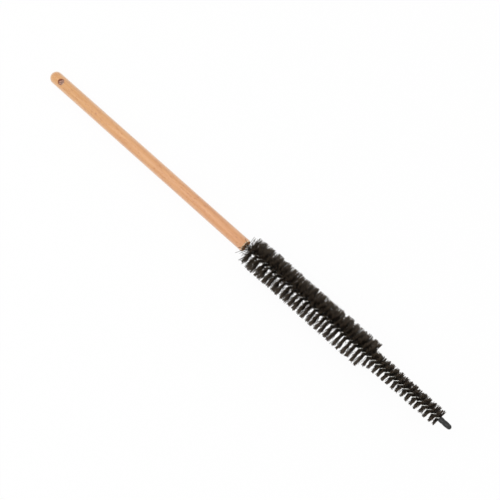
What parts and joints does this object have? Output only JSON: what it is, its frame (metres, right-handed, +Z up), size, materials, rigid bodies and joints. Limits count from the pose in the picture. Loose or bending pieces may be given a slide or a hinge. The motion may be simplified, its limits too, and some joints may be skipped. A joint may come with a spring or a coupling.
{
  "type": "bore cleaning brush",
  "caption": "Bore brush with a round wooden handle, a twisted wire stem and two-row nylon bristles that step from wide to narrow, with a capped tip and a hang hole.",
  "frame": {"origin": "on the bench under the middle of the brush's bounding box", "axes": "+X along the brush from the handle's free end to the tip, +Z up; the brush lies as it rests, so its own axis rises 1.66 degrees towards the tip"},
  "size_m": [0.4052, 0.0234, 0.026],
  "materials": {
    "handle_wood": "clear satin lacquer over fine-grained hardwood",
    "adhesive": "cured resin",
    "stem_wire": "bright galvanised",
    "bristle_nylon": "black nylon filament, satin",
    "cap_vinyl": "soft black vinyl"
  },
  "bodies": {
    "root": {"handle": "handle_wood", "stem_adhesive": "adhesive", "stem_wire_a": "stem_wire", "stem_wire_b": "stem_wire", "wide_bristles": "bristle_nylon", "narrow_bristles": "bristle_nylon", "tip_cap": "cap_vinyl"}
  },
  "joints": []
}
